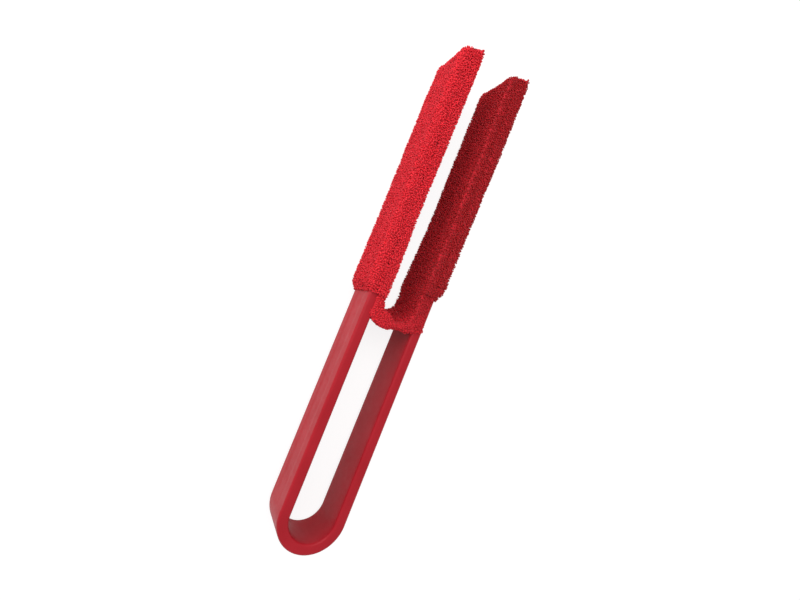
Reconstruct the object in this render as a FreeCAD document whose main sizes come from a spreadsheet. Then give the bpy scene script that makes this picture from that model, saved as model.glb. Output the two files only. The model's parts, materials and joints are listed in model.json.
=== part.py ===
import FreeCAD, Part
import math
import os

import Sketcher
from FreeCAD import Placement, Rotation, Vector

# A hand duster: one springy plastic strip bent into a U, whose two arms each wear one leg of a terry sleeve.
# It lies on its side. X runs across the two arms, Y along them from the bend to the tips, and Z up from the
# surface it lies on. The origin is on that surface, at the middle of the duster's length and spread.
# Millimetres and degrees. Side is -1 for the left arm and its leg, and +1 for the right.

# ---------------------------------------------------------------- driving sizes
SIZES = [
    ("strip_width", 20.9, "width of the plastic strip, along Z"),
    ("strip_thickness", 4.84, "thickness of the plastic strip"),
    ("bend_radius", 15.0, "outer radius of the bend"),
    ("splay", 0.3, "how far each arm leans out, in degrees"),
    ("arm_reach", 219.0, "length of an arm, from the bend to its tip"),
    ("arm_corner", 5.0, "radius of the arm's corners at its tip"),
    ("edge_round", 1.1, "radius of the strip's long edges"),
    ("flex_gap", 0.3, "gap between the bend and each arm, where the strip flexes"),
    ("channel_width", 8.4, "width of the shallow channel in an arm's outer face"),
    ("channel_depth", 0.5, "depth of that channel"),
    ("channel_start", 8.0, "where the channel starts along the arm"),
    ("channel_margin", 12.0, "what the channel leaves solid at the arm's tip"),
    ("outer_cover", 2.9, "how far the sleeve stands out from an arm's outer face"),
    ("inner_cover", 2.7, "how far the sleeve stands out from an arm's inner face"),
    ("upper_cover", 2.3, "how far the sleeve stands out from the strip's upper edge"),
    ("lower_cover", 2.5, "how far the sleeve stands out from the strip's lower edge"),
    ("sleeve_gap", 0.25, "clearance between the plastic and the sleeve"),
    ("left_tip_cover", 4.0, "how far the left leg reaches past its arm's tip, at its upper corner"),
    ("right_tip_cover", 7.0, "how far the right leg reaches past its arm's tip, at its upper corner"),
    ("left_leg", 125.0, "length of the left leg of the sleeve, from its mouth to its upper corner"),
    ("right_leg", 119.0, "length of the right leg of the sleeve, from its mouth to its upper corner"),
    ("tip_slant", 2.6, "how much shorter a leg is at its lower corner"),
    ("lower_corner", 5.0, "radius of a leg's lower corner at the tip"),
    ("upper_corner", 1.6, "radius of a leg's upper corner at the tip"),
    ("pile_round", 1.9, "radius of a leg's long outer edges"),
    ("seam_depth", 1.2, "depth of the groove that a seam pulls into the pile"),
    ("thread_radius", 0.35, "radius of a sewing thread as it lies"),
    ("thread_sink", 0.6, "depth of a seam's thread below the pile"),
    ("hem_width", 6.0, "width of the folded hem at the mouth"),
    ("hem_slot", 1.0, "width of the groove between the hem and the panel"),
    ("hem_bulge", 0.3, "how far the hem stays inside the pile's outer face"),
    ("crotch_wall", 3.6, "thickness of the strip that joins the legs"),
    ("crotch_proud", 0.8, "how far that strip stands past the plastic, above and below"),
    ("fold_drop", 12.5, "how far the strip's fold hangs below the left leg's mouth"),
    ("notch_drop", 5.5, "how far the bottom of the slot is below the left leg's mouth"),
    ("left_crotch_drop", 11.5, "how far below that mouth the strip leaves the left arm"),
    ("right_crotch_drop", 9.5, "how far below that mouth the strip leaves the right arm"),
    ("crotch_slit", 0.3, "gap between the strip's two halves, at the middle of the fold"),
    ("fold_round", 2.4, "radius of the strip's fold, inside and out"),
    ("overrun", 1.0, "how far a cut runs past the face that it opens"),
]

SIDES = (("left", -1), ("right", 1))

doc = FreeCAD.newDocument("terry_duster_tongs")
sheet = doc.addObject("Spreadsheet::Sheet", "sizes")
for row, (alias, value, meaning) in enumerate(SIZES, 1):
    sheet.set(f"A{row}", meaning)
    sheet.set(f"B{row}", str(value))
    sheet.setAlias(f"B{row}", alias)
doc.recompute()

# Lengths that follow from the sheet, as expressions.
MID_RADIUS = "(sizes.bend_radius - sizes.strip_thickness / 2)"
HALF_STRIP = "(sizes.strip_thickness / 2)"
STRIP_TOP = "(sizes.lower_cover + sizes.strip_width)"
SLEEVE_TOP = "(sizes.lower_cover + sizes.strip_width + sizes.upper_cover)"
HALF_CAVITY = "(sizes.strip_thickness / 2 + sizes.sleeve_gap)"
TIP = {name: f"(sizes.arm_reach + sizes.{name}_tip_cover)" for name, _ in SIDES}
MOUTH = {name: f"({TIP[name]} - sizes.{name}_leg)" for name, _ in SIDES}
BACK_Y = f"(sizes.bend_radius - max({TIP['left']}; {TIP['right']})) / 2"


def number(expression):
    """The value of an expression in the sheet's sizes."""
    value = sheet.evalExpression(expression.replace("sizes.", ""))
    return float(getattr(value, "Value", value))


def at_arm(piece, side):
    """Puts a piece, drawn with Y along the arm from the bend's end, where that arm is."""
    piece.Placement = Placement(Vector(), Rotation(Vector(0, 0, -side), number("sizes.splay")))
    base = {
        "x": f"{side} * {MID_RADIUS} * cos(sizes.splay)",
        "y": f"{BACK_Y} - {MID_RADIUS} * sin(sizes.splay)",
    }
    for axis, expression in base.items():
        piece.setExpression(f"Placement.Base.{axis}", expression)
    piece.setExpression("Placement.Rotation.Angle", "sizes.splay")


def new_body(label, side=None):
    """A body with its own label, on the left arm, on the right arm or, with no side, in the row frame."""
    body = doc.addObject("PartDesign::Body", label)
    body.Label = label
    if side is not None:
        at_arm(body, side)
    return body


def plane(body, role):
    return next(f for f in body.Origin.OriginFeatures if f.Role == role)


def polygon(body, role, name, points, offset=None):
    """A closed sketch of straight lines on one of the body's planes. Every corner is two expressions."""
    sketch = body.newObject("Sketcher::SketchObject", f"{body.Name}_{name}")
    sketch.AttachmentSupport = [(plane(body, role), "")]
    sketch.MapMode = "FlatFace"
    if offset is not None:
        sketch.setExpression("AttachmentOffset.Base.z", offset)
    places = [Vector(number(x), number(y), 0) for x, y in points]
    count = len(points)
    for i in range(count):
        sketch.addGeometry(Part.LineSegment(places[i], places[(i + 1) % count]))
    for i in range(count):
        sketch.addConstraint(Sketcher.Constraint("Coincident", i, 2, (i + 1) % count, 1))
    for i, (corner, place) in enumerate(zip(points, places)):
        for kind, axis, expression, value in (
            ("DistanceX", -2, corner[0], place.x),
            ("DistanceY", -1, corner[1], place.y),
        ):
            if expression == "0":
                sketch.addConstraint(Sketcher.Constraint("PointOnObject", i, 1, axis))
            else:
                n = sketch.addConstraint(Sketcher.Constraint(kind, -1, 1, i, 1, value))
                sketch.setExpression(f"Constraints[{n}]", expression)
    return sketch


def pad(body, sketch, length, backwards=False):
    feature = body.newObject("PartDesign::Pad", f"{sketch.Name}_pad")
    feature.Profile = sketch
    feature.Reversed = backwards
    feature.setExpression("Length", length)
    doc.recompute()
    return feature


def pocket(body, sketch, length, backwards=False):
    """Cuts a sketch out of the body, and makes sure that it did cut."""
    before = body.Shape.Volume
    feature = body.newObject("PartDesign::Pocket", f"{sketch.Name}_pocket")
    feature.Profile = sketch
    feature.Reversed = backwards
    feature.setExpression("Length", length)
    doc.recompute()
    if body.Shape.Volume > before - 1:
        raise RuntimeError(f"{feature.Name} cut nothing")
    return feature


def edges_of(body, chosen):
    """Names of the body's edges whose ends and middle all pass a test."""
    names = []
    for n, edge in enumerate(body.Tip.Shape.Edges, 1):
        first, last = edge.ParameterRange
        spots = [edge.valueAt(first + (last - first) * share) for share in (0.0, 0.5, 1.0)]
        if all(chosen(spot) for spot in spots):
            names.append(f"Edge{n}")
    return names


def dress(body, kind, size, chosen):
    """Fillets or chamfers every edge that passes a test."""
    base, names = body.Tip, edges_of(body, chosen)
    if not names:
        raise RuntimeError(f"{body.Name} has no edge to {kind.lower()}")
    feature = body.newObject(f"PartDesign::{kind}", f"{body.Name}_{kind.lower()}")
    feature.Base = (base, names)
    feature.setExpression("Radius" if kind == "Fillet" else "Size", size)
    doc.recompute()
    return feature


def near(value, expression):
    return abs(value - number(expression)) < 1e-4


# ---------------------------------------------------------------- the plastic tongs
def make_bend():
    """The strip's section turned about the bend's axis through a little under half a turn."""
    body = new_body("handle_bend")
    body.Placement = Placement(Vector(), Rotation(Vector(0, 0, -1), number("sizes.splay")))
    body.setExpression("Placement.Base.y", BACK_Y)
    body.setExpression("Placement.Rotation.Angle", "sizes.splay")
    inner, outer = "(sizes.bend_radius - sizes.strip_thickness)", "sizes.bend_radius"
    corners = [
        (inner, "sizes.lower_cover"),
        (outer, "sizes.lower_cover"),
        (outer, STRIP_TOP),
        (inner, STRIP_TOP),
    ]
    section = polygon(body, "XZ_Plane", "section", corners)
    turn = body.newObject("PartDesign::Revolution", "bend_turn")
    turn.Profile = section
    turn.ReferenceAxis = (section, ["V_Axis"])
    turn.Reversed = True
    turn.setExpression("Angle", "180 - 2 * sizes.splay")
    doc.recompute()
    if turn.Shape.BoundBox.YMax > 1:
        raise RuntimeError("the bend turns the wrong way")

    def along_the_strip(spot):
        on_a_face = near(spot.z, "sizes.lower_cover") or near(spot.z, STRIP_TOP)
        radius = math.hypot(spot.x, spot.y)
        return on_a_face and (near(radius, inner) or near(radius, outer))

    dress(body, "Fillet", "sizes.edge_round", along_the_strip)


def make_arm(name, side):
    """A flat arm with rounded edges and tip, and a shallow channel down its outer face."""
    body = new_body(f"{name}_arm", side)
    outline = [
        ("sizes.flex_gap", "sizes.lower_cover"),
        ("sizes.arm_reach", "sizes.lower_cover"),
        ("sizes.arm_reach", STRIP_TOP),
        ("sizes.flex_gap", STRIP_TOP),
    ]
    blank = polygon(body, "YZ_Plane", "outline", outline, offset=f"-{HALF_STRIP}")
    pad(body, blank, "sizes.strip_thickness")
    dress(
        body,
        "Fillet",
        "sizes.arm_corner",
        lambda spot: near(spot.y, "sizes.arm_reach")
        and (near(spot.z, "sizes.lower_cover") or near(spot.z, STRIP_TOP)),
    )
    dress(
        body,
        "Fillet",
        "sizes.edge_round",
        lambda spot: near(abs(spot.x), HALF_STRIP)
        and not (near(spot.y, "sizes.flex_gap") and not on_strip_edge(spot)),
    )
    middle = "(sizes.lower_cover + sizes.strip_width / 2)"
    channel_end = "sizes.arm_reach - sizes.channel_margin"
    low, high = f"{middle} - sizes.channel_width / 2", f"{middle} + sizes.channel_width / 2"
    corners = [
        ("sizes.channel_start", low),
        (channel_end, low),
        (channel_end, high),
        ("sizes.channel_start", high),
    ]
    channel = polygon(body, "YZ_Plane", "channel", corners, offset=f"{side} * {HALF_STRIP}")
    pocket(body, channel, "sizes.channel_depth", backwards=side < 0)


def on_strip_edge(spot):
    return near(spot.z, "sizes.lower_cover") or near(spot.z, STRIP_TOP)


# ---------------------------------------------------------------- the sleeve
def leg_outline(name, start):
    """A leg seen square on its face: a long strip whose tip slants down to its lower corner."""
    return [
        (start, "0"),
        (f"{TIP[name]} - sizes.tip_slant", "0"),
        (TIP[name], SLEEVE_TOP),
        (start, SLEEVE_TOP),
    ]


def make_panel(name, side, part, cover, start):
    """Half a leg's pile: a face of it, half of both sides and half of the tip, with room inside for the arm."""
    facing = side if part == "outer" else -side
    body = new_body(f"{name}_{part}_panel", side)
    depth = f"({HALF_STRIP} + {cover})"
    sketch = polygon(body, "YZ_Plane", "outline", leg_outline(name, start))
    pad(body, sketch, depth, backwards=facing < 0)

    def lower_corner(spot):
        return near(spot.y, f"{TIP[name]} - sizes.tip_slant") and abs(spot.z) < 1e-4

    def upper_corner(spot):
        return near(spot.y, TIP[name]) and near(spot.z, SLEEVE_TOP)

    dress(body, "Fillet", "sizes.lower_corner", lower_corner)
    dress(body, "Fillet", "sizes.upper_corner", upper_corner)

    def at_the_mouth(spot):
        return near(spot.y, start) and 0.1 < spot.z / number(SLEEVE_TOP) < 0.9

    def rim_at(distance):
        """Edges of the leg's outline at a distance from the seam's plane, not those at its mouth."""
        level = number(distance) * facing
        return lambda spot: abs(spot.x - level) < 1e-4 and not at_the_mouth(spot)

    dress(body, "Fillet", "sizes.pile_round", rim_at(depth))
    dress(body, "Chamfer", "sizes.seam_depth", rim_at("0"))
    low, high = "sizes.lower_cover - sizes.sleeve_gap", f"{STRIP_TOP} + sizes.sleeve_gap"
    cavity_start, cavity_end = f"{start} - sizes.overrun", "sizes.arm_reach + sizes.sleeve_gap"
    corners = [(cavity_start, low), (cavity_end, low), (cavity_end, high), (cavity_start, high)]
    cavity = polygon(body, "YZ_Plane", "cavity", corners)
    pocket(body, cavity, HALF_CAVITY, backwards=facing > 0)


def make_hem(name, side):
    """The fold at a leg's mouth: a band over the outer face and half of both sides."""
    body = new_body(f"{name}_mouth_hem", side)
    mouth = MOUTH[name]
    end = f"{mouth} + sizes.hem_width - sizes.hem_slot"
    low, high = "sizes.hem_bulge", f"{SLEEVE_TOP} - sizes.hem_bulge"
    depth = f"({HALF_STRIP} + sizes.outer_cover - sizes.hem_bulge)"
    sketch = polygon(body, "YZ_Plane", "band", [(mouth, low), (end, low), (end, high), (mouth, high)])
    pad(body, sketch, depth, backwards=side < 0)
    level = number(depth)
    dress(body, "Fillet", "sizes.pile_round", lambda spot: abs(abs(spot.x) - level) < 1e-4)
    cut_low, cut_high = "sizes.lower_cover - sizes.sleeve_gap", f"{STRIP_TOP} + sizes.sleeve_gap"
    corners = [
        (f"{mouth} - sizes.overrun", cut_low),
        (f"{end} + sizes.overrun", cut_low),
        (f"{end} + sizes.overrun", cut_high),
        (f"{mouth} - sizes.overrun", cut_high),
    ]
    cavity = polygon(body, "YZ_Plane", "cavity", corners)
    pocket(body, cavity, HALF_CAVITY, backwards=side > 0)


def make_crotch_half(name, side):
    """Half of the strip between the legs: down an arm's inner face, then across to the middle of the fold."""
    body = new_body(f"{name}_crotch_half", side)
    face = f"(-{side} * {HALF_CAVITY})"
    wall = f"({face} - {side} * sizes.crotch_wall)"
    top = f"{MOUTH[name]} - sizes.crotch_slit"
    start = f"({MOUTH['left']} - sizes.{name}_crotch_drop)"
    low, notch = f"({MOUTH['left']} - sizes.fold_drop)", f"({MOUTH['left']} - sizes.notch_drop)"

    def middle_at(along):
        """The edge of the slit in the middle of the fold, which the arm leans away from."""
        return f"(-{side} * ({MID_RADIUS} + {along} * tan(sizes.splay) - sizes.crotch_slit / 2))"

    corners = [
        (face, top),
        (face, start),
        (middle_at(low), low),
        (middle_at(notch), notch),
        (wall, f"{notch} + sizes.fold_round"),
        (wall, top),
    ]
    sketch = polygon(body, "XY_Plane", "fold", corners, offset="sizes.lower_cover - sizes.crotch_proud")
    pad(body, sketch, "sizes.strip_width + 2 * sizes.crotch_proud")

    def fold(spot):
        outside = near(spot.x, face) and near(spot.y, start)
        inside = near(spot.x, wall) and near(spot.y, f"{notch} + sizes.fold_round")
        return outside or inside

    dress(body, "Fillet", "sizes.fold_round", fold)


# ---------------------------------------------------------------- the threads
def rounded_path(corners):
    """Straight runs joined by tangent arcs. Each corner is a place and its radius; the two ends have none."""
    edges, last = [], corners[0][0]
    for (before, _), (corner, radius), (after, _) in zip(corners, corners[1:], corners[2:]):
        back, on = (before - corner).normalize(), (after - corner).normalize()
        turn = math.pi - back.getAngle(on)
        reach = radius * math.tan(turn / 2)
        start, end = corner + back * reach, corner + on * reach
        inward = (back + on).normalize()
        middle = corner + inward * (radius / math.cos(turn / 2) - radius)
        edges += [Part.LineSegment(last, start).toShape(), Part.Arc(start, middle, end).toShape()]
        last = end
    edges.append(Part.LineSegment(last, corners[-1][0]).toShape())
    return Part.Wire(edges)


def thread_along(label, side, corners):
    """A thread swept along a path in an arm's own frame."""
    path = rounded_path(corners)
    start = path.Edges[0].valueAt(path.Edges[0].FirstParameter)
    heading = path.Edges[0].tangentAt(path.Edges[0].FirstParameter)
    circle = Part.Wire(Part.Circle(start, heading, number("sizes.thread_radius")).toShape())
    thread = doc.addObject("Part::Feature", label)
    thread.Label = label
    thread.Shape = path.makePipeShell([circle], True, False)
    at_arm(thread, side)


def make_seam_thread(name, side):
    """The seam of a leg: up its lower side, over the tip and down its upper side, sunk in the groove."""
    sink, slant = number("sizes.thread_sink"), number("sizes.tip_slant")
    tip, top = number(TIP[name]), number(SLEEVE_TOP)
    start = number(f"{MOUTH[name]} + sizes.hem_width")
    lean = math.atan2(slant, top)
    along_tip = sink / math.cos(lean)

    def tip_at(z):
        return tip - slant * (top - z) / top - along_tip

    corners = [
        (Vector(0, start, sink), 0),
        (Vector(0, tip_at(sink), sink), number("sizes.lower_corner - sizes.thread_sink")),
        (Vector(0, tip_at(top - sink), top - sink), number("sizes.upper_corner - sizes.thread_sink")),
        (Vector(0, start, top - sink), 0),
    ]
    thread_along(f"{name}_seam_thread", side, corners)


def make_hem_thread(name, side):
    """The stitching of a hem: across the leg's outer face and half way round both sides, in its groove."""
    sink = number("sizes.thread_sink + sizes.hem_bulge")
    along = number(f"{MOUTH[name]} + sizes.hem_width - sizes.hem_slot / 2")
    out = side * number(f"{HALF_STRIP} + sizes.outer_cover - sizes.hem_bulge - sizes.thread_sink")
    clear_of_seam = side * number("sizes.seam_depth")
    low, high, turn = sink, number(SLEEVE_TOP) - sink, number("sizes.pile_round")
    corners = [
        (Vector(clear_of_seam, along, low), 0),
        (Vector(out, along, low), turn),
        (Vector(out, along, high), turn),
        (Vector(clear_of_seam, along, high), 0),
    ]
    thread_along(f"{name}_hem_thread", side, corners)


make_bend()
for name, side in SIDES:
    make_arm(name, side)
    make_panel(name, side, "outer", "sizes.outer_cover", f"{MOUTH[name]} + sizes.hem_width")
    make_panel(name, side, "inner", "sizes.inner_cover", MOUTH[name])
    make_hem(name, side)
    make_crotch_half(name, side)
    make_seam_thread(name, side)
    make_hem_thread(name, side)

# ---------------------------------------------------------------- check and write
doc.recompute()
for item in doc.Objects:
    if "Invalid" in item.State or "Error" in item.State:
        raise RuntimeError(f"{item.Label} is {item.State}")

os.makedirs("parts", exist_ok=True)
pieces = [item for item in doc.Objects if item.TypeId in ("PartDesign::Body", "Part::Feature")]
for piece in pieces:
    if piece.Shape.isNull() or not piece.Shape.isValid():
        raise RuntimeError(f"{piece.Label} has no valid shape")
    piece.Shape.exportStep(f"parts/{piece.Label}.step")
    box = piece.Shape.BoundBox
    print(
        f"{piece.Label}: {len(piece.Shape.Solids)} solid, {piece.Shape.Volume:.0f} mm3, "
        f"X {box.XMin:.1f} to {box.XMax:.1f}, Y {box.YMin:.1f} to {box.YMax:.1f}, Z {box.ZMin:.1f} to {box.ZMax:.1f}"
    )
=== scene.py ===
import json
import math

import bpy
import numpy as np
from mathutils import Euler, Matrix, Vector, noise


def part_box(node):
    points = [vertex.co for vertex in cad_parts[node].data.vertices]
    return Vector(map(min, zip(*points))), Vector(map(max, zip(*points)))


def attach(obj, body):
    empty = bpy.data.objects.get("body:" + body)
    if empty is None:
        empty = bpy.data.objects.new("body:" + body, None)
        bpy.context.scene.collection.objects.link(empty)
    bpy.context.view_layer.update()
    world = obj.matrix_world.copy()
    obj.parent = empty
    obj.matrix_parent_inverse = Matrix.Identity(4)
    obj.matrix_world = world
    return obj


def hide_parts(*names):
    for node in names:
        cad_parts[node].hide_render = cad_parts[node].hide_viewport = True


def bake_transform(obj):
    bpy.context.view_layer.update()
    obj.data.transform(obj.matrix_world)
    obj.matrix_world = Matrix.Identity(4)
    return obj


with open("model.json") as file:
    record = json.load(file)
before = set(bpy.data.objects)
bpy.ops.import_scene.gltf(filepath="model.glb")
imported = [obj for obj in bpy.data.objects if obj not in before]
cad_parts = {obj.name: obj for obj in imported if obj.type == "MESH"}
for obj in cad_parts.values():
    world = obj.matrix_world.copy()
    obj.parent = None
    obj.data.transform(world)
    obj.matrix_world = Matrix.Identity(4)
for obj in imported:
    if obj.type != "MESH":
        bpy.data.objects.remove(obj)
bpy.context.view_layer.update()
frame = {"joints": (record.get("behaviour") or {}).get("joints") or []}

# A two-legged terry duster on spring tongs. It lies on its side on a pale floor: X runs across the two arms,
# Y along them from the bend to the tips, Z up. Lengths are in metres. An arm's own frame has u outwards from
# the middle of the strip, v along the arm from its hinge, and z up.

MM = 0.001
SIDES = {"left": -1, "right": 1}


# ---------------------------------------------------------------- sizes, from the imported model
def size_of(node):
    low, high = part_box(node)
    return np.array(low), np.array(high)


bend_low, bend_high = size_of("handle_bend")
strip_low, strip_high = bend_low[2], bend_high[2]
bend_radius = (bend_high[0] - bend_low[0]) / 2
hinge = np.array(next(j for j in frame["joints"] if j["name"] == "right_squeeze")["pos_m"])
half_strip = bend_radius - hinge[0]
arm_high = size_of("right_arm")[1]
reach = arm_high[1] - hinge[1]
splay = math.asin((arm_high[0] - hinge[0] - half_strip) / reach)
mid_radius = hinge[0] / math.cos(splay)
bend_centre_y = hinge[1] + mid_radius * math.sin(splay)
sleeve_low, sleeve_high = (size_of("right_outer_panel")[k][2] for k in (0, 1))

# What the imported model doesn't say about the looks follows. Upper and lower are by height over the floor, and
# the fold's bottom is its end towards the bend. First the plastic tongs.
EDGE_ROUND = 1.1 * MM
TIP_CORNER = 5 * MM  # radius of the two corners at an arm's tip
CHANNEL_WIDTH, CHANNEL_DEPTH = 8.4 * MM, 0.22 * MM
CHANNEL_SLOPE = 3.4 * MM  # width of each of its sides
CHANNEL_FADE = 14 * MM  # length over which it deepens from the hinge
CHANNEL_STOP, CHANNEL_RISE = 12 * MM, 4 * MM  # how far before the tip it stops, and over what length
FLEX = (-8 * MM, 30 * MM)  # where the moulding bends, along the arm from its hinge

# The pile and the cloth that carries it.
PILE = 0.8 * MM  # how high the loops stand on their cloth
YARN = 0.23 * MM  # radius of the pile's yarn
YARN_SHARES = (0.85, 1.2)  # thinnest and thickest yarn, as shares of that
LOOP_SPACING = 0.70 * MM
LOOP_TRIES = 5  # random tries for each square of that spacing
LOOP_HALF_WIDTHS = (0.28, 0.42)  # narrowest and widest, in millimetres
LOOP_HEIGHTS = (0.80, 1.08)  # lowest and highest, as shares of the pile's height
LOOP_LEAN, LOOP_TWIST = 0.20, 0.5  # spread of a crown's lean in millimetres, and of its twist in radians
MOST_LOOPS = 3600  # in one piece of pile
CLOTH = 0.7 * MM  # thickness of the cloth
CLOTH_CORNER = 1.0 * MM  # radius at the corners of a leg's section and of the fold's
SEAM_PULL, SEAM_WIDTH = 0.35 * MM, 0.8 * MM  # how deep a seam pulls the cloth in, and over what half width
SMALL_LUMPS, LARGE_LUMPS = (9 * MM, 0.22 * MM), (28 * MM, 0.25 * MM)  # size and height

# The hem at each leg's mouth. How far it stands off the plastic is given as a share of the panel's cover.
HEM = 5.6 * MM
HEM_EDGE, HEM_FULLER = 0.10, 0.94  # at its edge, and how much more past it
HEM_RISE = 5.2 * MM  # length over which it comes up from its edge
HEM_DIP, HEM_DIP_WIDTH = 0.18, 0.9 * MM  # how much less at its stitching, and over what half width
RIGHT_HEM_OVER = 0.5 * MM  # how far the right hem reaches past its panel's mouth, towards the bend

# The end of each leg.
TIP_GAP = 2.3 * MM  # between the cloth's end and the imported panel's, room for the loops there
TIP_ROUND = 3.4 * MM  # length over which it rounds off
TIP_BLUNT, TIP_PINCH = 0.7, 0.01  # how it does, blunter if less, and its share of the thickness at the seam
LOOPS_TURN = 12 * MM  # the last stretch of a leg, where the loops turn to point past its end
TIP_REACH = 20 * MM  # length over which a leg takes the shape of its end
TIP_SLANT = 1.6 * MM  # how much shorter a leg's end is at its lower corner
TIP_EAR = 1.0 * MM  # how far its two corners stick out past the middle of its end
UPPER_EAR, UPPER_SKEW = 0.4 * MM, 1.2 * MM  # how much longer the upper corner is, and more on its right face
LOWER_CUT = {"left": -0.6 * MM, "right": 1.3 * MM}  # how much of the end's lower corner is missing
TIP_TWIST = 4.4 * MM  # how far the seam across its end has turned off the middle, to one side at each corner
FLARE = 0.5 * MM  # how much fuller each face of a leg is by its end, and the right outer face twice that
FLARE_START, FLARE_RUN = 100 * MM, 90 * MM  # how far before the end that begins, and over what length

# An inner face is fuller by its mouth.
MOUTH_REACH = 45 * MM  # length over which it is
MOUTH_BULGE, MOUTH_SAG = 0.6 * MM, 0.4 * MM  # how much at its upper side, and how much more at mid height

# The fold between the legs, one strip of towelling. Its under and over curves outline its loops. Each starts
# as a list of points in millimetres: across from the middle, and along the arm from the bottom or the notch.
FOLD_BOTTOM = -20.6 * MM  # at the fold's upper edge
FOLD_NOTCH = FOLD_BOTTOM + 4.4 * MM  # between the legs, at that edge
FOLD_UNDER = {
    "left": [(0, 0.9), (1.8, 0.1), (4.5, 0), (7.5, 0.6)],
    "right": [(0, 0.9), (2.5, 1.6), (4.8, 1.9), (7.5, 1.8)],
}
FOLD_OVER = {
    "left": [(0, 0.6), (0.9, 0.9), (3.0, 2.4), (5.4, 3.0), (6.9, 4.4)],
    "right": [(0, 0.6), (1.4, 0), (3.4, 0.5), (5.7, 2.2), (7.0, 4.2)],
}
FOLD_MEETS = {"left": 3.6 * MM, "right": 4.8 * MM}  # how far from its bottom it meets each arm
FOLD_RINGS = 48
FOLD_WALL = 2.3 * MM  # its thickness beside an arm
FOLD_GAP = 0.2 * MM  # between it and the arm
FOLD_INSET = 0.6 * PILE  # how far its cloth lies inside those curves
FOLD_PILE = 0.8 * PILE  # how high its loops stand
FOLD_TILT, TILT_REACH = 5.0 * MM, 14 * MM  # how much less deep it is underneath, fading out past the notch
FOLD_BULGE, BULGE_FROM = 1.1 * MM, 3 * MM  # how much fuller its inner side is there, from this far across
FOLD_LAP = {"left": 1.3 * MM, "right": 4.1 * MM}  # how far it laps over each arm's upper edge
LAP_HEIGHT = 0.4 * MM  # how high the fold stands over that edge
LAP_DEPTH = 0.8 * MM  # how far below that edge the cloth begins to spread

# How light the pile is, from 0 to 1. The right leg is painted darker: painted shade for where the left leg
# shades it from the low light at the left.
PAINTED_SHADE_BY_LEG = (0.50, 0.17)  # on the left leg and on the right
PAINTED_SHADE_TURN = 14 * MM  # width of the fold over which one goes over into the other
PAINTED_SHADE_FOLD, PAINTED_SHADE_FOLD_SHARE = 24 * MM, 0.6  # how near to the fold's bottom it turns less, and by what share
PAINTED_UPPER_LIGHT = (0.34, -0.30)  # painted light on the left leg's upper side, which faces the low light, and painted shade on the right's
SHADE_SPREAD = 0.08  # from loop to loop
rng = np.random.default_rng(7)


class Arm:
    """Where an arm and its leg of the sleeve are, in the arm's own frame and in the model's."""

    def __init__(self, name):
        self.name, self.side, self.body = name, SIDES[name], f"{name}_side"
        outer, inner = size_of(f"{name}_outer_panel"), size_of(f"{name}_inner_panel")
        self.mouth = self.along(inner[0][1])
        self.tip = self.along(outer[1][1])
        at_tip = self.tip * math.sin(splay)
        outermost = max(abs(outer[0][0]), abs(outer[1][0]))
        innermost = min(abs(inner[0][0]), abs(inner[1][0]))
        self.outer_cover = outermost - hinge[0] - at_tip - half_strip
        self.inner_cover = hinge[0] + self.mouth * math.sin(splay) - half_strip - innermost

    def along(self, y):
        return (y - hinge[1]) / math.cos(splay)

    def place(self, u, v, z):
        """Points of the arm's own frame, as arrays, in the model's frame."""
        x = self.side * (hinge[0] + u * math.cos(splay) + v * math.sin(splay))
        y = hinge[1] + v * math.cos(splay) - u * math.sin(splay)
        return np.stack(np.broadcast_arrays(x, y, z), axis=-1)


# ---------------------------------------------------------------- meshes
def new_object(name, mesh, material):
    mesh.polygons.foreach_set("use_smooth", np.ones(len(mesh.polygons), bool))
    mesh.materials.append(material)
    thing = bpy.data.objects.new(name, mesh)
    bpy.context.scene.collection.objects.link(thing)
    return thing


def quad_mesh(name, points, quads):
    mesh = bpy.data.meshes.new(name)
    mesh.vertices.add(len(points))
    mesh.vertices.foreach_set("co", np.asarray(points, np.float32).ravel())
    mesh.loops.add(quads.size)
    mesh.loops.foreach_set("vertex_index", quads.astype(np.int32).ravel())
    mesh.polygons.add(len(quads))
    mesh.polygons.foreach_set("loop_start", np.arange(0, quads.size, 4, dtype=np.int32))
    mesh.update(calc_edges=True)
    mesh.validate()
    return mesh


def grid_quads(rows, columns, closed=False):
    """Quads between neighbouring rows of a grid of points. Closed joins the last column to the first."""
    across = np.arange(columns if closed else columns - 1)
    row, column = np.meshgrid(np.arange(rows - 1), across, indexing="ij")
    here, above = row * columns, (row + 1) * columns
    after = (column + 1) % columns
    return np.stack([here + column, here + after, above + after, above + column], -1)


def tube_object(name, rings, material, flip=False):
    """Closed rings of points in a row, joined into a skin with both ends capped."""
    rows, columns = rings.shape[:2]
    quads = grid_quads(rows, columns, closed=True).reshape(-1, 4)
    first_cap = tuple(range(columns))[::-1]
    last_cap = tuple(range((rows - 1) * columns, rows * columns))
    faces = [tuple(q) for q in quads] + [first_cap, last_cap]
    if flip:
        faces = [f[::-1] for f in faces]
    mesh = bpy.data.meshes.new(name)
    mesh.from_pydata(rings.reshape(-1, 3).tolist(), [], faces)
    thing = new_object(name, mesh, material)
    mesh.set_sharp_from_angle(angle=math.radians(40))
    return thing


def smooth(t):
    """An even rise from 0 to 1 as t goes from 0 to 1."""
    t = np.clip(t, 0, 1)
    return t * t * (3 - 2 * t)


def wobble(points, scale, seed):
    """Smooth noise at each point, from about -1 to 1."""
    flat = points.reshape(-1, 3) / scale + seed
    return np.array([noise.noise(Vector(p)) for p in flat]).reshape(points.shape[:-1])


# ---------------------------------------------------------------- materials
def material_of(name):
    material = bpy.data.materials.new(name)
    material.use_nodes = True
    tree = material.node_tree
    return material, tree, tree.nodes["Principled BSDF"]


def node(tree, kind, **inputs):
    made = tree.nodes.new(kind)
    for key, value in inputs.items():
        made.inputs[key.replace("_", " ")].default_value = value
    return made


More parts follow.
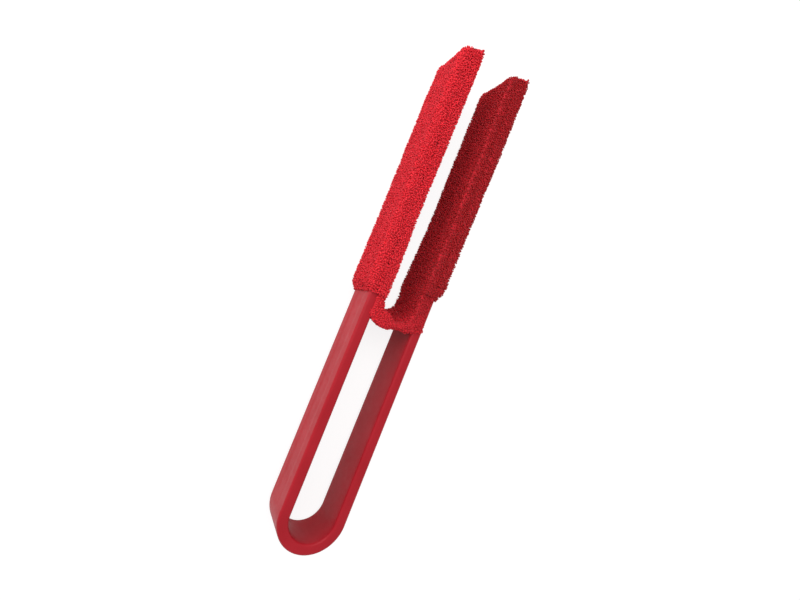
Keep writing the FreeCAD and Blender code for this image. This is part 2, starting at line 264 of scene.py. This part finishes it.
def ramp(tree, source, stops):
    made = tree.nodes.new("ShaderNodeValToRGB")
    tree.links.new(source, made.inputs["Fac"])
    elements = made.color_ramp.elements
    while len(elements) < len(stops):
        elements.new(0.5)
    for element, (place, colour) in zip(elements, stops):
        element.position, element.color = place, (*colour, 1)
    return made


def moulded_plastic():
    """Satin moulded plastic: even red with faint flow marks, a fine bump and a few rubbed patches."""
    material, tree, shader = material_of("moulded_plastic")
    place = tree.nodes.new("ShaderNodeTexCoord")
    flow = node(tree, "ShaderNodeTexNoise", Scale=55.0, Detail=4.0, Roughness=0.5)
    grain = node(tree, "ShaderNodeTexNoise", Scale=2600.0, Detail=2.0)
    rubs = node(tree, "ShaderNodeTexNoise", Scale=240.0, Detail=6.0, Roughness=0.7)
    for texture in (flow, grain, rubs):
        tree.links.new(place.outputs["Object"], texture.inputs["Vector"])
    colour = ramp(tree, flow.outputs["Fac"], [(0.3, (0.355, 0.006, 0.014)), (0.7, (0.405, 0.009, 0.019))])
    rough = ramp(tree, rubs.outputs["Fac"], [(0.35, (0.38,) * 3), (0.75, (0.50,) * 3)])
    bump = node(tree, "ShaderNodeBump", Strength=0.12, Distance=0.00006)
    tree.links.new(grain.outputs["Fac"], bump.inputs["Height"])
    tree.links.new(colour.outputs["Color"], shader.inputs["Base Color"])
    tree.links.new(rough.outputs["Color"], shader.inputs["Roughness"])
    tree.links.new(bump.outputs["Normal"], shader.inputs["Normal"])
    shader.inputs["IOR"].default_value = 1.5
    shader.inputs["Specular IOR Level"].default_value = 0.2
    return material


def terry_yarn():
    """The pile's cotton yarn: each loop has its own shade, a random tone on top of painted light and shade,
    with fine twist and a soft sheen.
    """
    material, tree, shader = material_of("terry_yarn")
    place = tree.nodes.new("ShaderNodeTexCoord")
    shade = tree.nodes.new("ShaderNodeAttribute")
    shade.attribute_name = "shade"
    colour = ramp(
        tree,
        shade.outputs["Fac"],
        [(0.0, (0.42, 0.003, 0.007)), (0.5, (0.66, 0.012, 0.026)), (1.0, (0.94, 0.022, 0.040))],
    )
    twist = node(tree, "ShaderNodeTexNoise", Scale=3800.0, Detail=2.0)
    tree.links.new(place.outputs["Object"], twist.inputs["Vector"])
    bump = node(tree, "ShaderNodeBump", Strength=0.5, Distance=0.00008)
    tree.links.new(twist.outputs["Fac"], bump.inputs["Height"])
    tree.links.new(bump.outputs["Normal"], shader.inputs["Normal"])
    tree.links.new(colour.outputs["Color"], shader.inputs["Base Color"])
    shader.inputs["Roughness"].default_value = 0.85
    shader.inputs["Specular IOR Level"].default_value = 0.25
    shader.inputs["Sheen Weight"].default_value = 0.22
    shader.inputs["Sheen Roughness"].default_value = 0.45
    shader.inputs["Sheen Tint"].default_value = (1.0, 0.55, 0.58, 1)
    return material


def ground_cloth():
    """The woven cloth under the loops, deeper in colour, with a fine weave."""
    material, tree, shader = material_of("ground_cloth")
    place = tree.nodes.new("ShaderNodeTexCoord")
    weave = node(tree, "ShaderNodeTexVoronoi", Scale=1700.0)
    patches = node(tree, "ShaderNodeTexNoise", Scale=500.0, Detail=3.0)
    for texture in (weave, patches):
        tree.links.new(place.outputs["Object"], texture.inputs["Vector"])
    colour = ramp(tree, patches.outputs["Fac"], [(0.3, (0.48, 0.006, 0.016)), (0.7, (0.62, 0.012, 0.026))])
    bump = node(tree, "ShaderNodeBump", Strength=0.6, Distance=0.0002)
    tree.links.new(weave.outputs["Distance"], bump.inputs["Height"])
    tree.links.new(bump.outputs["Normal"], shader.inputs["Normal"])
    tree.links.new(colour.outputs["Color"], shader.inputs["Base Color"])
    shader.inputs["Roughness"].default_value = 0.95
    return material


def sewing_thread():
    """Polyester sewing thread: twisted, a little shinier than the pile."""
    material, tree, shader = material_of("sewing_thread")
    place = tree.nodes.new("ShaderNodeTexCoord")
    twist = node(tree, "ShaderNodeTexWave", Scale=900.0, Distortion=1.0)
    tree.links.new(place.outputs["Object"], twist.inputs["Vector"])
    colour = ramp(tree, twist.outputs["Fac"], [(0.0, (0.30, 0.004, 0.012)), (1.0, (0.48, 0.012, 0.026))])
    bump = node(tree, "ShaderNodeBump", Strength=0.5, Distance=0.0001)
    tree.links.new(twist.outputs["Fac"], bump.inputs["Height"])
    tree.links.new(bump.outputs["Normal"], shader.inputs["Normal"])
    tree.links.new(colour.outputs["Color"], shader.inputs["Base Color"])
    shader.inputs["Roughness"].default_value = 0.5
    return material


PLASTIC, YARN_RED, CLOTH_RED, THREAD_RED = moulded_plastic(), terry_yarn(), ground_cloth(), sewing_thread()


# ---------------------------------------------------------------- the plastic tongs
def strip_section(inset, channel):
    """The strip's closed section as (u, z): rounded corners, and a shallow channel in the outer face.
    Inset narrows it at the arm's tip, and channel is how deep the channel is in this section."""
    low, high = strip_low + inset, strip_high - inset
    middle = (low + high) / 2
    corner = np.linspace(0, math.pi / 2, 7)
    r = EDGE_ROUND
    outer = np.linspace(low + r, high - r, 33)[1:-1]
    edge = smooth((CHANNEL_WIDTH / 2 - np.abs(outer - middle)) / CHANNEL_SLOPE + 0.5)
    inner = np.linspace(high - r, low + r, 9)[1:-1]
    u = np.concatenate([
        half_strip - r + r * np.sin(corner),
        half_strip - channel * edge,
        half_strip - r + r * np.cos(corner),
        -half_strip + r - r * np.sin(corner),
        np.full(len(inner), -half_strip),
        -half_strip + r - r * np.cos(corner),
    ])
    z = np.concatenate([
        low + r - r * np.cos(corner),
        outer,
        high - r + r * np.sin(corner),
        high - r + r * np.cos(corner),
        inner,
        low + r - r * np.sin(corner),
    ])
    return u, z


def half_tongs(arm):
    """Half of the tongs, from the middle of the bend to one tip, as one skin."""
    rings = []
    for angle in np.linspace(-math.pi / 2, -splay, 40)[:-1]:
        u, z = strip_section(0, 0)
        x = (mid_radius + u) * math.cos(angle)
        y = bend_centre_y + (mid_radius + u) * math.sin(angle)
        rings.append(np.stack([arm.side * x, y, z], -1))
    round_from = reach - TIP_CORNER
    stations = np.concatenate([
        np.linspace(0, FLEX[1], 22),
        np.linspace(FLEX[1], round_from, 40)[1:],
        round_from + TIP_CORNER * np.sin(np.linspace(0, math.pi / 2, 10))[1:] * 0.999,
    ])
    for v in stations:
        past = max(0.0, v - round_from)
        inset = TIP_CORNER - math.sqrt(max(TIP_CORNER**2 - past**2, 0))
        depth = smooth(v / CHANNEL_FADE) * smooth((reach - CHANNEL_STOP - v) / CHANNEL_RISE)
        u, z = strip_section(inset, CHANNEL_DEPTH * float(depth))
        rings.append(arm.place(u, v, z))
    skin = tube_object(f"{arm.name}_tongs", np.array(rings), PLASTIC, flip=arm.side < 0)
    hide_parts(f"{arm.name}_arm", "handle_bend")
    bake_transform(skin)


# ---------------------------------------------------------------- the sleeve's cloth
def leg_section(facing, cover, grow=1.0, groove=SEAM_PULL):
    """Half of a leg's section as (u, z), from the lower seam round the face to the upper seam.
    Facing is 1 for the outer face and -1 for the inner. Grow scales how far it stands off the plastic."""
    below = grow * (strip_low - sleeve_low - PILE)
    above = grow * (sleeve_high - strip_high - PILE)
    deep = half_strip + grow * (cover - PILE)
    low, high, r = strip_low - below, strip_high + above, CLOTH_CORNER
    corner = np.linspace(0, math.pi / 2, 7)
    side = np.linspace(0, deep - r, 7)[:-1]
    face = np.linspace(low + r, high - r, 27)[1:-1]
    u = np.concatenate([
        side,
        deep - r + r * np.sin(corner),
        np.full(len(face), deep),
        deep - r + r * np.cos(corner),
        side[::-1],
    ])
    z = np.concatenate([
        np.full(len(side), low),
        low + r - r * np.cos(corner),
        face,
        high - r + r * np.sin(corner),
        np.full(len(side), high),
    ])
    pull = groove * np.exp(-((u / SEAM_WIDTH) ** 2))
    z = z + np.where(z < (low + high) / 2, pull, -pull)
    return facing * u, z


def level_of(z):
    """Where a height is on a leg: -1 at its lower side, 1 at its upper."""
    middle = (sleeve_low + sleeve_high) / 2
    return np.clip((z - middle) / (sleeve_high - PILE - middle), -1, 1)


def panel(arm, part):
    """The outer or inner cloth of a leg: rows of half sections, from the mouth to the seam at the tip."""
    facing, cover = (1, arm.outer_cover) if part == "outer" else (-1, arm.inner_cover)
    first = arm.mouth + (HEM if part == "outer" else 0)
    last = arm.tip - TIP_GAP
    quarter = np.linspace(0, math.pi / 2, 9)[1:]
    straight = np.linspace(first, last - TIP_ROUND, 58)
    stations = np.concatenate([straight, last - TIP_ROUND * (1 - np.sin(quarter))])
    fullness = np.concatenate([np.ones(len(straight)), np.cos(quarter) ** TIP_BLUNT + TIP_PINCH])
    flare = 2 * FLARE if part == "outer" and arm.side > 0 else FLARE
    rows = []
    for v, full in zip(stations, fullness):
        u, z = leg_section(facing, cover)
        level = level_of(z)
        rightwards = np.clip(arm.side * u / half_strip, -1, 1)
        short = TIP_SLANT * (1 - level) / 2 + TIP_EAR * (1 - level**4)
        short = short + LOWER_CUT[arm.name] * np.maximum(-level, 0) ** 8
        short = short - np.maximum(level, 0) ** 6 * (UPPER_EAR + UPPER_SKEW * rightwards)
        fuller = flare * smooth((v - last + FLARE_START) / FLARE_RUN)
        u = u + facing * fuller * np.minimum(1, abs(u) / half_strip)
        if part == "inner":
            by_mouth = 1 - smooth((v - arm.mouth) / MOUTH_REACH)
            bulge = by_mouth * (MOUTH_BULGE + MOUTH_SAG * (1 - level))
            u = u - bulge * np.minimum(1, abs(u) / half_strip)
        u = u * full + arm.side * TIP_TWIST * level * (1 - full)
        by_tip = smooth((v - last + TIP_REACH) / TIP_REACH)
        rows.append(arm.place(u, v - by_tip * short, z))
    rows = np.array(rows)
    small = wobble(rows, SMALL_LUMPS[0], 3.0 * arm.side) * SMALL_LUMPS[1]
    large = wobble(rows, LARGE_LUMPS[0], 9.0) * LARGE_LUMPS[1]
    rows[:, :, 0] += (small + large) * arm.side * facing * np.minimum(1, fullness)[:, None]
    return rows


def hem(arm):
    """The outer panel's folded edge. It tucks in to the plastic at the mouth and dips at its stitching."""
    stations = np.linspace(0, HEM, 12)
    rise = smooth((stations + 0.2 * MM) / HEM_RISE)
    dip = HEM_DIP * np.exp(-(((stations - HEM) / HEM_DIP_WIDTH) ** 2))
    over = RIGHT_HEM_OVER if arm.side > 0 else 0
    rows = []
    for v, grow in zip(stations, HEM_EDGE + HEM_FULLER * rise - dip):
        u, z = leg_section(1, arm.outer_cover, grow=grow, groove=0)
        rows.append(arm.place(u, arm.mouth + v - over, z))
    return np.array(rows)


def curve_through(points, count):
    """A smooth curve through a few points, by Catmull and Rom's rule."""
    p = np.array(points, float)
    p = np.vstack([2 * p[0] - p[1], p, 2 * p[-1] - p[-2]])
    t = np.linspace(0, len(points) - 1, count)
    i = np.minimum(t.astype(int), len(points) - 2)
    f = (t - i)[:, None]
    a, b, c, d = p[i], p[i + 1], p[i + 2], p[i + 3]
    return 0.5 * (2 * b + (c - a) * f + (2 * a - 5 * b + 4 * c - d) * f**2 + (3 * b - a - 3 * c + d) * f**3)


def fold_curves(arm):
    """The under and over curves of half the fold, from its middle to the mouth, as (x, y) for a right arm."""
    wall = hinge[0] - half_strip + arm.mouth * math.sin(splay) - FOLD_GAP
    inside, mouth = wall - FOLD_WALL, hinge[1] + arm.mouth + 2 * MM
    meets = FOLD_BOTTOM + FOLD_MEETS[arm.name]
    under = [(x * MM, FOLD_BOTTOM + y * MM + FOLD_INSET) for x, y in FOLD_UNDER[arm.name]]
    over = [(x * MM, FOLD_NOTCH + y * MM - FOLD_INSET) for x, y in FOLD_OVER[arm.name]]
    # From there each curve runs up beside the arm, to just past the mouth.
    under += [(wall, meets), (wall, meets + 3.8 * MM), (wall, mouth)]
    over += [(inside, FOLD_NOTCH + 8.2 * MM), (inside, FOLD_NOTCH + 12 * MM), (inside, mouth)]
    return curve_through(under, FOLD_RINGS), curve_through(over, FOLD_RINGS)


def fold_rings(arm):
    """Half of the folded strip between the legs, as closed rings from the middle of the fold up to the mouth.
    The fold is deepest at its upper edge, where its loops show, and less deep underneath."""
    under, over = fold_curves(arm)
    wall = under[-1, 0]
    corner = np.linspace(0, math.pi / 2, 6)
    z_low, z_high = size_of(f"{arm.name}_crotch_half")[0][2] + PILE, strip_high + LAP_HEIGHT
    r = CLOTH_CORNER
    level = r * (1 - np.cos(corner))
    rise = np.linspace(z_low + r, z_high - r, 12)[1:-1]
    flat = np.ones(len(rise))
    z = np.concatenate([
        z_low + level,
        rise,
        z_high - level[::-1],
        z_high - level,
        rise[::-1],
        z_low + level[::-1],
    ])
    underneath = (z_high - z) / (z_high - z_low)  # 0 at the upper edge, 1 at the lower
    by_edge = smooth((z - strip_high + LAP_DEPTH) / LAP_DEPTH)
    rings = []
    for a, b in zip(under, over):
        middle, half = (a + b) / 2, (b - a) / 2
        share = 1 - (1 - np.sin(corner)) * min(1, r / max(np.linalg.norm(half), 1e-6))
        across = np.concatenate([share, flat, share[::-1], -share, -flat, -share[::-1]])
        x, y = (middle + across[:, None] * half).T
        tilt = FOLD_TILT * (1 - smooth((y - FOLD_NOTCH) / TILT_REACH)) * underneath
        bulge = FOLD_BULGE * (across > 0) * (x > BULGE_FROM) * underneath
        by_arm = smooth(4 * a[0] / wall - 3)  # 0 up to three quarters of the way to the arm, 1 beside it
        spread = FOLD_LAP[arm.name] * (across < 0) * by_edge * by_arm
        rings.append(np.stack([arm.side * (x - bulge + spread), y + tilt, z], -1))
    return np.array(rings)


# ---------------------------------------------------------------- the pile
def triangles_of(rows, closed):
    quads = grid_quads(*rows.shape[:2], closed=closed).reshape(-1, 4)
    corners = rows.reshape(-1, 3)[quads]
    return np.concatenate([corners[:, [0, 1, 2]], corners[:, [0, 2, 3]]])


def spots_on(triangles, spacing):
    """Random places on a surface, none nearer to another than the spacing, with the surface's normals."""
    a, b, c = triangles[:, 0], triangles[:, 1], triangles[:, 2]
    cross = np.cross(b - a, c - a)
    area = np.linalg.norm(cross, axis=1) / 2
    tries = int(LOOP_TRIES * area.sum() / spacing**2)
    pick = rng.choice(len(area), tries, p=area / area.sum())
    s, t = rng.random((2, tries, 1))
    s, t = np.where(s + t > 1, 1 - s, s), np.where(s + t > 1, 1 - t, t)
    places = a[pick] + s * (b - a)[pick] + t * (c - a)[pick]
    normals = cross[pick] / (2 * area[pick, None])
    cells, kept = {}, []
    keys = np.floor(places / spacing).astype(int)
    around = [(i, j, k) for i in (-1, 0, 1) for j in (-1, 0, 1) for k in (-1, 0, 1)]
    for n in range(tries):
        x, y, z = keys[n]
        close = [m for i, j, k in around for m in cells.get((x + i, y + j, z + k), ())]
        if not close or (((places[close] - places[n]) ** 2).sum(1) >= spacing**2).all():
            kept.append(n)
            cells.setdefault((x, y, z), []).append(n)
    return places[kept], normals[kept]


def painted_light_at(places):
    """How light the pile is at each place: painted shade on the right leg, and painted light and shade on the
    upper sides.
    """
    by_fold = 1 - smooth((places[:, 1] - FOLD_BOTTOM) / PAINTED_SHADE_FOLD)
    # turned is the share of the right leg's painted shade, going over from the left leg across the fold
    turned = smooth(places[:, 0] / PAINTED_SHADE_TURN + 0.5) * (1 - PAINTED_SHADE_FOLD_SHARE * by_fold)
    upper = smooth((places[:, 2] - strip_high + 2 * MM) / (4 * MM))
    return PAINTED_SHADE_BY_LEG[0] + (PAINTED_SHADE_BY_LEG[1] - PAINTED_SHADE_BY_LEG[0]) * turned + (PAINTED_UPPER_LIGHT[0] + (PAINTED_UPPER_LIGHT[1] - PAINTED_UPPER_LIGHT[0]) * turned) * upper


def loops(name, places, normals, height):
    """A loop of yarn at each place: two feet in the cloth and a rounded crown, which leans and is twisted."""
    count = len(places)
    along = rng.normal(0, 1, (count, 3))
    t = along - (along * normals).sum(1)[:, None] * normals
    t /= np.linalg.norm(t, axis=1)[:, None]
    b = np.cross(normals, t)
    tall = height * rng.uniform(*LOOP_HEIGHTS, count)
    wide = rng.uniform(*LOOP_HALF_WIDTHS, count) * MM
    lean_t, lean_b = rng.normal(0, LOOP_LEAN, (2, count)) * MM
    twist = rng.normal(0, LOOP_TWIST, count)
    # Across and up, as shares of the loop's width and height, from one foot over the crown to the other.
    shape = [(-0.6, -0.15), (-1.0, 0.45), (-0.75, 0.86), (0.0, 1.0), (0.75, 0.86), (1.0, 0.45), (0.6, -0.15)]
    centre = []
    for across, up in shape:
        turn = twist * max(up, 0)
        out_t, out_b = across * wide * np.cos(turn), across * wide * np.sin(turn)
        push = max(up, 0) ** 1.5
        sideways = t * (out_t + lean_t * push)[:, None] + b * (out_b + lean_b * push)[:, None]
        centre.append(places + sideways + normals * (up * tall)[:, None])
    centre = np.stack(centre, 1)  # loops, points along each, xyz
    heading = np.gradient(centre, axis=1)
    heading /= np.linalg.norm(heading, axis=2)[:, :, None]
    side = np.cross(heading, b[:, None, :] + 0.01)
    side /= np.linalg.norm(side, axis=2)[:, :, None]
    other = np.cross(heading, side)
    radius = YARN * rng.uniform(*YARN_SHARES, count)[:, None, None]
    ring = [centre + radius * (math.cos(w) * side + math.sin(w) * other) for w in np.arange(4) * math.pi / 2]
    points = np.stack(ring, 2)  # loops, points along, points around, xyz
    rows = len(shape)
    quads = grid_quads(rows, 4, closed=True).reshape(-1, 4)
    caps = np.array([[3, 2, 1, 0], [4 * rows - 4, 4 * rows - 3, 4 * rows - 2, 4 * rows - 1]])
    quads = np.concatenate([quads, caps])
    all_quads = (quads[None] + 4 * rows * np.arange(count)[:, None, None]).reshape(-1, 4)
    points[..., 2] = np.maximum(points[..., 2], 0.05 * MM)  # the loops underneath lie flat on the floor
    mesh = quad_mesh(name, points.reshape(-1, 3), all_quads)
    # each loop's shade is a random tone around the painted light and shade
    shade = np.repeat(np.clip(painted_light_at(places) + rng.normal(0, SHADE_SPREAD, count), 0, 1), 4 * rows)
    mesh.attributes.new("shade", "FLOAT", "POINT").data.foreach_set("value", shade.astype(np.float32))
    thing = new_object(name, mesh, YARN_RED)
    return thing


def make_pile(name, places, normals, height=PILE):
    """The loops of one cloth, in as many pieces as keep each to the most loops."""
    order = np.argsort(places[:, 1])
    parts = np.array_split(order, math.ceil(len(order) / MOST_LOOPS))
    if len(parts) == 1:
        return [loops(name, places, normals, height)]
    return [loops(f"{name}_{k + 1}", places[part], normals[part], height) for k, part in enumerate(parts)]


def facing_out(places, normals, arm):
    """Normals turned to point away from the middle of the arm's strip, and past its tip at the leg's end."""
    along = np.minimum(arm.along(places[:, 1]), arm.tip - LOOPS_TURN)
    middle = arm.place(0.0, along, (strip_low + strip_high) / 2)
    return np.where(((places - middle) * normals).sum(1)[:, None] < 0, -normals, normals)


def cloth_sheet(name, rows, arm, node_name):
    """Rows of points as a sheet of cloth, which gets its thickness inwards."""
    quads = grid_quads(*rows.shape[:2]).reshape(-1, 4)
    thing = new_object(name, quad_mesh(name, rows.reshape(-1, 3), quads), CLOTH_RED)
    mesh = thing.data
    normal = np.array([p.normal for p in mesh.polygons])
    face = np.array([p.center for p in mesh.polygons])
    middle = arm.place(0.0, arm.along(face[:, 1]), (strip_low + strip_high) / 2)
    if ((face - middle) * normal).sum() < 0:
        mesh.flip_normals()
    thick = thing.modifiers.new("thickness", "SOLIDIFY")
    thick.thickness, thick.offset = CLOTH, -1
    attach(thing, arm.body)
    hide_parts(node_name)
    return thing


def piled_cloth(name, rows, arm, node_name):
    """A sheet of cloth and its pile, which ride on the arm."""
    cloth = cloth_sheet(f"{name}_cloth", rows, arm, node_name)
    places, normals = spots_on(triangles_of(rows, False), LOOP_SPACING)
    pile = make_pile(f"{name}_pile", places, facing_out(places, normals, arm))
    for part in pile:
        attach(part, arm.body)
    return cloth, pile


def make_leg(arm):
    """The two panels of a leg and its hem."""
    for half in ("outer", "inner"):
        rows = panel(arm, half)
        name = f"{arm.name}_{half}"
        cloth, pile = piled_cloth(name, rows, arm, f"{name}_panel")
    rows = hem(arm)
    cloth, pile = piled_cloth(f"{arm.name}_hem", rows, arm, f"{arm.name}_mouth_hem")


def make_fold(arm):
    """Half of the fold between the legs: its cloth and its pile."""
    rings = fold_rings(arm)
    name = f"{arm.name}_fold"
    cloth = tube_object(f"{name}_cloth", rings, CLOTH_RED, flip=arm.side > 0)
    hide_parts(f"{arm.name}_crotch_half")
    places, normals = spots_on(triangles_of(rings, True), LOOP_SPACING)
    middle = rings.mean(axis=1)
    nearest = np.argmin(((places[:, None, :2] - middle[None, :, :2]) ** 2).sum(2), axis=1)
    away = places - middle[nearest]
    away[:, 2] = places[:, 2] - np.clip(places[:, 2], strip_low + 2 * MM, strip_high - 2 * MM)
    normals = np.where((away * normals).sum(1)[:, None] < 0, -normals, normals)
    # There are no loops where the fold lies against its arm.
    against = (normals[:, 0] * arm.side > 0.5) & (places[:, 1] > rings[0, :, 1].min() + 5 * MM)
    pile = make_pile(f"{name}_pile", places[~against], normals[~against], height=FOLD_PILE)
    for thing in (cloth, *pile):
        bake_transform(thing)


# ---------------------------------------------------------------- the sewing
def stitches(name, points, node_name, arm, long=2.3 * MM, gap=0.7 * MM, radius=0.26 * MM):
    """A row of stitches along a line of points: each a short round thread whose ends dive into the cloth."""
    step = np.linalg.norm(np.diff(points, axis=0), axis=1)
    place = np.concatenate([[0], np.cumsum(step)])
    starts = np.arange(0, place[-1] - long, long + gap)
    shape = np.array([0.0, 0.12, 0.3, 0.5, 0.7, 0.88, 1.0])
    thick = radius * np.array([0.35, 0.8, 1.0, 1.0, 1.0, 0.8, 0.35])
    dive = radius * np.array([1.3, 0.5, 0.05, 0.0, 0.05, 0.5, 1.3])
    rings = []
    for start in starts:
        line = np.stack([np.interp(start + long * shape, place, points[:, k]) for k in range(3)], -1)
        heading = np.gradient(line, axis=0)
        heading /= np.linalg.norm(heading, axis=1)[:, None]
        core = arm.place(0.0, arm.along(line[:, 1]), (strip_low + strip_high) / 2)
        inward = core - line
        inward -= (inward * heading).sum(1)[:, None] * heading
        inward /= np.maximum(np.linalg.norm(inward, axis=1)[:, None], 1e-9)
        side = np.cross(heading, inward)
        centre = line + inward * dive[:, None]
        turn = np.arange(6) * math.pi / 3
        spoke = np.cos(turn)[None, :, None] * side[:, None] + np.sin(turn)[None, :, None] * inward[:, None]
        rings.append(centre[:, None] + thick[:, None, None] * spoke)
    rings = np.array(rings)
    rows, columns = rings.shape[1:3]
    quads = grid_quads(rows, columns, closed=True).reshape(-1, 4)
    last = rows * columns - columns
    first_cap = [[0, 3, 2, 1], [0, 5, 4, 3]]
    last_cap = [[last, last + 1, last + 2, last + 3], [last, last + 3, last + 4, last + 5]]
    caps = np.array(first_cap + last_cap)
    quads = np.concatenate([quads, caps])
    all_quads = (quads[None] + rows * columns * np.arange(len(rings))[:, None, None]).reshape(-1, 4)
    thing = new_object(name, quad_mesh(name, rings.reshape(-1, 3), all_quads), THREAD_RED)
    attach(thing, arm.body)
    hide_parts(node_name)


def make_stitches(arm):
    """The stitches of the seam round a leg's edge, and those of its hem."""
    outer = panel(arm, "outer")
    seam = np.concatenate([outer[:, 0], outer[-1, 1:-1], outer[::-1, -1]])
    stitches(f"{arm.name}_seam_stitches", seam, f"{arm.name}_seam_thread", arm)
    stitches(f"{arm.name}_hem_stitches", hem(arm)[-1], f"{arm.name}_hem_thread", arm)


# ---------------------------------------------------------------- the stage
def make_stage():
    """A pale floor: almost white with a faint shadow for the camera, and light grey for everything else."""
    floor_mesh = bpy.data.meshes.new("floor")
    half = 4.0
    corners = [(-half, -half, 0), (half, -half, 0), (half, half, 0), (-half, half, 0)]
    floor_mesh.from_pydata(corners, [], [(0, 1, 2, 3)])
    floor = bpy.data.objects.new("floor", floor_mesh)
    floor.location.z = -0.3 * MM  # a hair below the duster
    bpy.context.scene.collection.objects.link(floor)
    material = bpy.data.materials.new("pale_floor")
    material.use_nodes = True
    tree = material.node_tree
    tree.nodes.clear()
    out = tree.nodes.new("ShaderNodeOutputMaterial")
    path = tree.nodes.new("ShaderNodeLightPath")
    bare = node(tree, "ShaderNodeBsdfDiffuse", Color=(0.75, 0.75, 0.75, 1))
    lift = node(tree, "ShaderNodeEmission", Color=(1, 1, 1, 1), Strength=0.20)
    plain = tree.nodes.new("ShaderNodeAddShader")
    shadowed = node(tree, "ShaderNodeBsdfDiffuse", Color=(0.22, 0.22, 0.22, 1))
    glow = node(tree, "ShaderNodeEmission", Color=(1, 1, 1, 1), Strength=0.84)
    both = tree.nodes.new("ShaderNodeAddShader")
    mix = tree.nodes.new("ShaderNodeMixShader")
    tree.links.new(path.outputs["Is Camera Ray"], mix.inputs[0])
    tree.links.new(bare.outputs[0], plain.inputs[0])
    tree.links.new(lift.outputs[0], plain.inputs[1])
    tree.links.new(plain.outputs[0], mix.inputs[1])
    tree.links.new(shadowed.outputs[0], both.inputs[0])
    tree.links.new(glow.outputs[0], both.inputs[1])
    tree.links.new(both.outputs[0], mix.inputs[2])
    tree.links.new(mix.outputs[0], out.inputs["Surface"])
    floor_mesh.materials.append(material)


def make_world():
    """White for the camera, and a softer white light for everything else."""
    world = bpy.data.worlds.new("studio")
    bpy.context.scene.world = world
    world.use_nodes = True
    tree = world.node_tree
    back = tree.nodes["Background"]
    path = tree.nodes.new("ShaderNodeLightPath")
    level = tree.nodes.new("ShaderNodeMapRange")
    tree.links.new(path.outputs["Is Camera Ray"], level.inputs["Value"])
    level.inputs["To Min"].default_value = 0.72
    level.inputs["To Max"].default_value = 1.0
    tree.links.new(level.outputs["Result"], back.inputs["Strength"])
    back.inputs["Color"].default_value = (1, 1, 1, 1)


def make_light(name, place, target, size, power):
    lamp = bpy.data.lights.new(name, "AREA")
    lamp.shape, lamp.size, lamp.energy = "DISK", size, power
    thing = bpy.data.objects.new(name, lamp)
    bpy.context.scene.collection.objects.link(thing)
    thing.location = place
    thing.rotation_euler = (Vector(target) - Vector(place)).to_track_quat("-Z", "Y").to_euler()


def make_camera():
    data = bpy.data.cameras.new("camera")
    data.sensor_width, data.lens = 36.0, 19.294
    data.clip_start, data.clip_end = 0.01, 20
    camera = bpy.data.objects.new("camera", data)
    bpy.context.scene.collection.objects.link(camera)
    camera.location = (-0.0791154, -0.0282873, 0.1953666)
    camera.rotation_euler = Euler([math.radians(a) for a in (-3.49974, -25.04084, 24.18479)])
    bpy.context.scene.camera = camera


make_camera()
make_stage()
make_world()
make_light("key", place=(-0.26, 0.13, 0.085), target=(-0.01, 0.04, 0.01), size=0.26, power=0.44)
make_light("fill", place=(-0.16, 0.20, 0.55), target=(0, 0, 0), size=0.4, power=1.25)
bpy.context.scene.view_settings.view_transform = "Standard"

for name in SIDES:
    arm = Arm(name)
    half_tongs(arm)
    make_leg(arm)
    make_fold(arm)
    make_stitches(arm)
